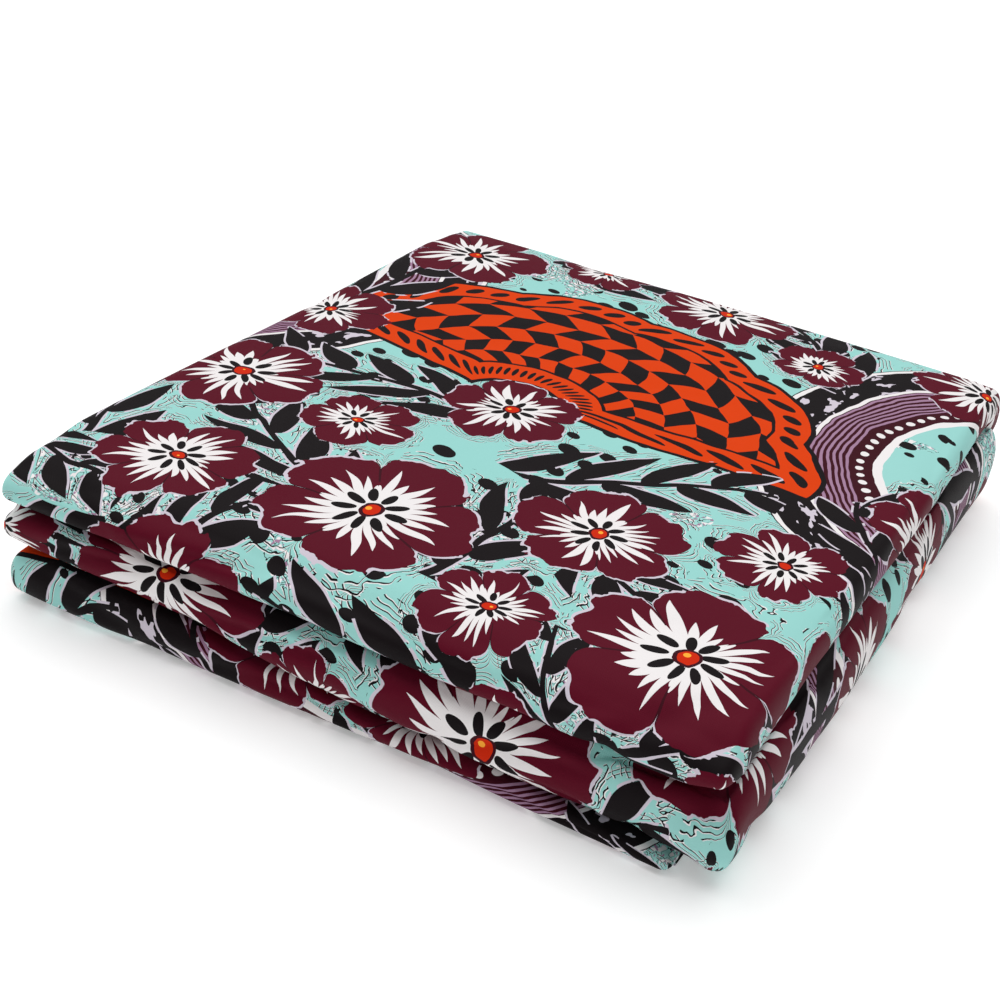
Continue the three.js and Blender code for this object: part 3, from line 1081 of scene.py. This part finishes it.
lowest = bmesh.new()
bmesh.ops.create_grid(lowest, x_segments=56, y_segments=64, size=0.5)
lowest_map = lowest.loops.layers.uv.new("cloth")
for vertex in lowest.verts:
    x = vertex.co.x * LOWEST_SIZE[0] + LOWEST_MIDDLE[0]
    y = vertex.co.y * LOWEST_SIZE[1] + LOWEST_MIDDLE[1]
    vertex.co = Vector((x, y, LOWEST_HEIGHT - crease_depth(LOWEST_CREASES, x, y)))
for face in lowest.faces:
    for loop in face.loops:
        x, y = loop.vert.co.xy
        loop[lowest_map].uv = (LOWEST_PRINT_AT[0] - x, y + LOWEST_PRINT_AT[1])
lowest_layer = cotton_piece("lowest_layer", lowest, LOWEST_SIZE)
lowest_layer.data.materials.append(cotton_print)
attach(lowest_layer, "root")
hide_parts("bottom_length")


# ---- Lower turn ------------------------------------------------------------------------------
# The turn at the back between the third and fourth lengths: the same cloth, rounded from the
# middle of the pile down to the floor.

lower_high, lower_low = faces_of("lower_turn")

lower_turn_cloth = cloth_sheet(
    "lower_turn_cloth",
    {
        "edge": {
            "left": -HALF_X + 5 * MM,
            "right": HALF_X - 6 * MM,
            "front": HALF_Y - 14 * MM,
            "back": HALF_Y - 1 * MM,
        },
        "over": sides(left=6, right=6, front=1, back=10),
        "under": sides(left=5, right=5, front=1, back=9),
        "tail": sides(left=0, right=0, front=0, back=0),
        "rise": 15 * MM,
        "drop": 13 * MM,
        "widest": 0.48,
        "fullness": 0.95,
        "margin": 6 * MM,
        "fine": 1.4 * MM,
        "coarse": 4 * MM,
        "corner_turns": 2.0,
        "high": lower_high,
        "low": lower_low,
        "open_left": False,
        "sway": (0.8 * MM, 0),
        "phase": 3.0,
        "print_at": (0.05, 0.09),
        "creases": table(
            "at angle long wide deep bow",
            ((-80, 185), 8, 40, 4, 0.9),
            ((10, 188), -10, 36, 4, 1),
            ((85, 184), 6, 34, 4, 0.8),
        ),
    },
)
lower_turn_cloth.data.materials.append(cotton_print)
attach(lower_turn_cloth, "root")
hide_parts("lower_turn")


# ---- Floor, light and camera -----------------------------------------------------------------
# A plain white sweep, soft light from above and a weak fill from the front. The camera stands in
# front of the pile and to its right, looks down on it and is rolled a few degrees.

FLOOR_REACH = 40  # metres from the middle to each side
FLOOR_DROP = 0.3 * MM  # how far it lies below the pile, so that the two don't touch
ROOM_LIGHT = 0.30  # light that comes from all round; the camera sees the backdrop as plain white
SWEEP = {
    "Base Color": (0.84, 0.84, 0.84, 1),
    "Roughness": 0.9,
    "Emission Color": (1, 1, 1, 1),
    "Emission Strength": 0.30,
}

floor_mesh = bmesh.new()
bmesh.ops.create_grid(floor_mesh, x_segments=1, y_segments=1, size=FLOOR_REACH)
bmesh.ops.translate(floor_mesh, verts=floor_mesh.verts, vec=(0, 0, -FLOOR_DROP))
floor_data = bpy.data.meshes.new("floor")
floor_mesh.to_mesh(floor_data)
floor_mesh.free()
floor = bpy.data.objects.new("floor", floor_data)
bpy.context.scene.collection.objects.link(floor)
white = bpy.data.materials.new("white_sweep")
white.use_nodes = True
for socket, value in SWEEP.items():
    white.node_tree.nodes["Principled BSDF"].inputs[socket].default_value = value
floor.data.materials.append(white)

scene = bpy.context.scene
scene.view_settings.view_transform = "Standard"
world = bpy.data.worlds.new("studio")
world.use_nodes = True
backdrop = world.node_tree
backdrop.nodes["Background"].inputs["Color"].default_value = (1, 1, 1, 1)
seen = wired(backdrop, "LightPath", {}).outputs["Is Camera Ray"]
brightness = ramp(backdrop, seen, 1 - ROOM_LIGHT, ROOM_LIGHT)
backdrop.links.new(brightness, backdrop.nodes["Background"].inputs["Strength"])
scene.world = world


def sunlight(name, place, spread, strength):
    """Even light from one direction, softened over an angle in degrees."""
    lamp = bpy.data.lights.new(name, "SUN")
    lamp.angle = math.radians(spread)
    lamp.energy = strength
    light = bpy.data.objects.new(name, lamp)
    scene.collection.objects.link(light)
    light.matrix_world = (-Vector(place)).to_track_quat("-Z", "Y").to_matrix().to_4x4()


sunlight("overhead", (-0.30, 0.30, 1.5), 80, 2.4)
sunlight("front_fill", (0.3, -1.2, 0.9), 60, 0.10)

LENS, SENSOR = 63.1, 36  # millimetres
TURN, PITCH, ROLL = math.radians(24.4), math.radians(28.0), math.radians(7.6)
DISTANCE = 0.715  # metres from the point that it looks at
AIM = Vector((-0.0189, -0.0134, 0.0179))
forward = Vector((-math.sin(TURN) * math.cos(PITCH), math.cos(TURN) * math.cos(PITCH), -math.sin(PITCH)))
level_right = Vector((math.cos(TURN), math.sin(TURN), 0))
level_up = level_right.cross(forward)
right = math.cos(ROLL) * level_right + math.sin(ROLL) * level_up
up = -math.sin(ROLL) * level_right + math.cos(ROLL) * level_up
camera = bpy.data.objects.new("camera", bpy.data.cameras.new("camera"))
camera.data.lens = LENS
camera.data.sensor_width = SENSOR
camera.data.clip_start = 0.05
scene.collection.objects.link(camera)
turn_matrix = Matrix((right, up, -forward)).transposed().to_4x4()
camera.matrix_world = Matrix.Translation(AIM - forward * DISTANCE) @ turn_matrix
scene.camera = camera
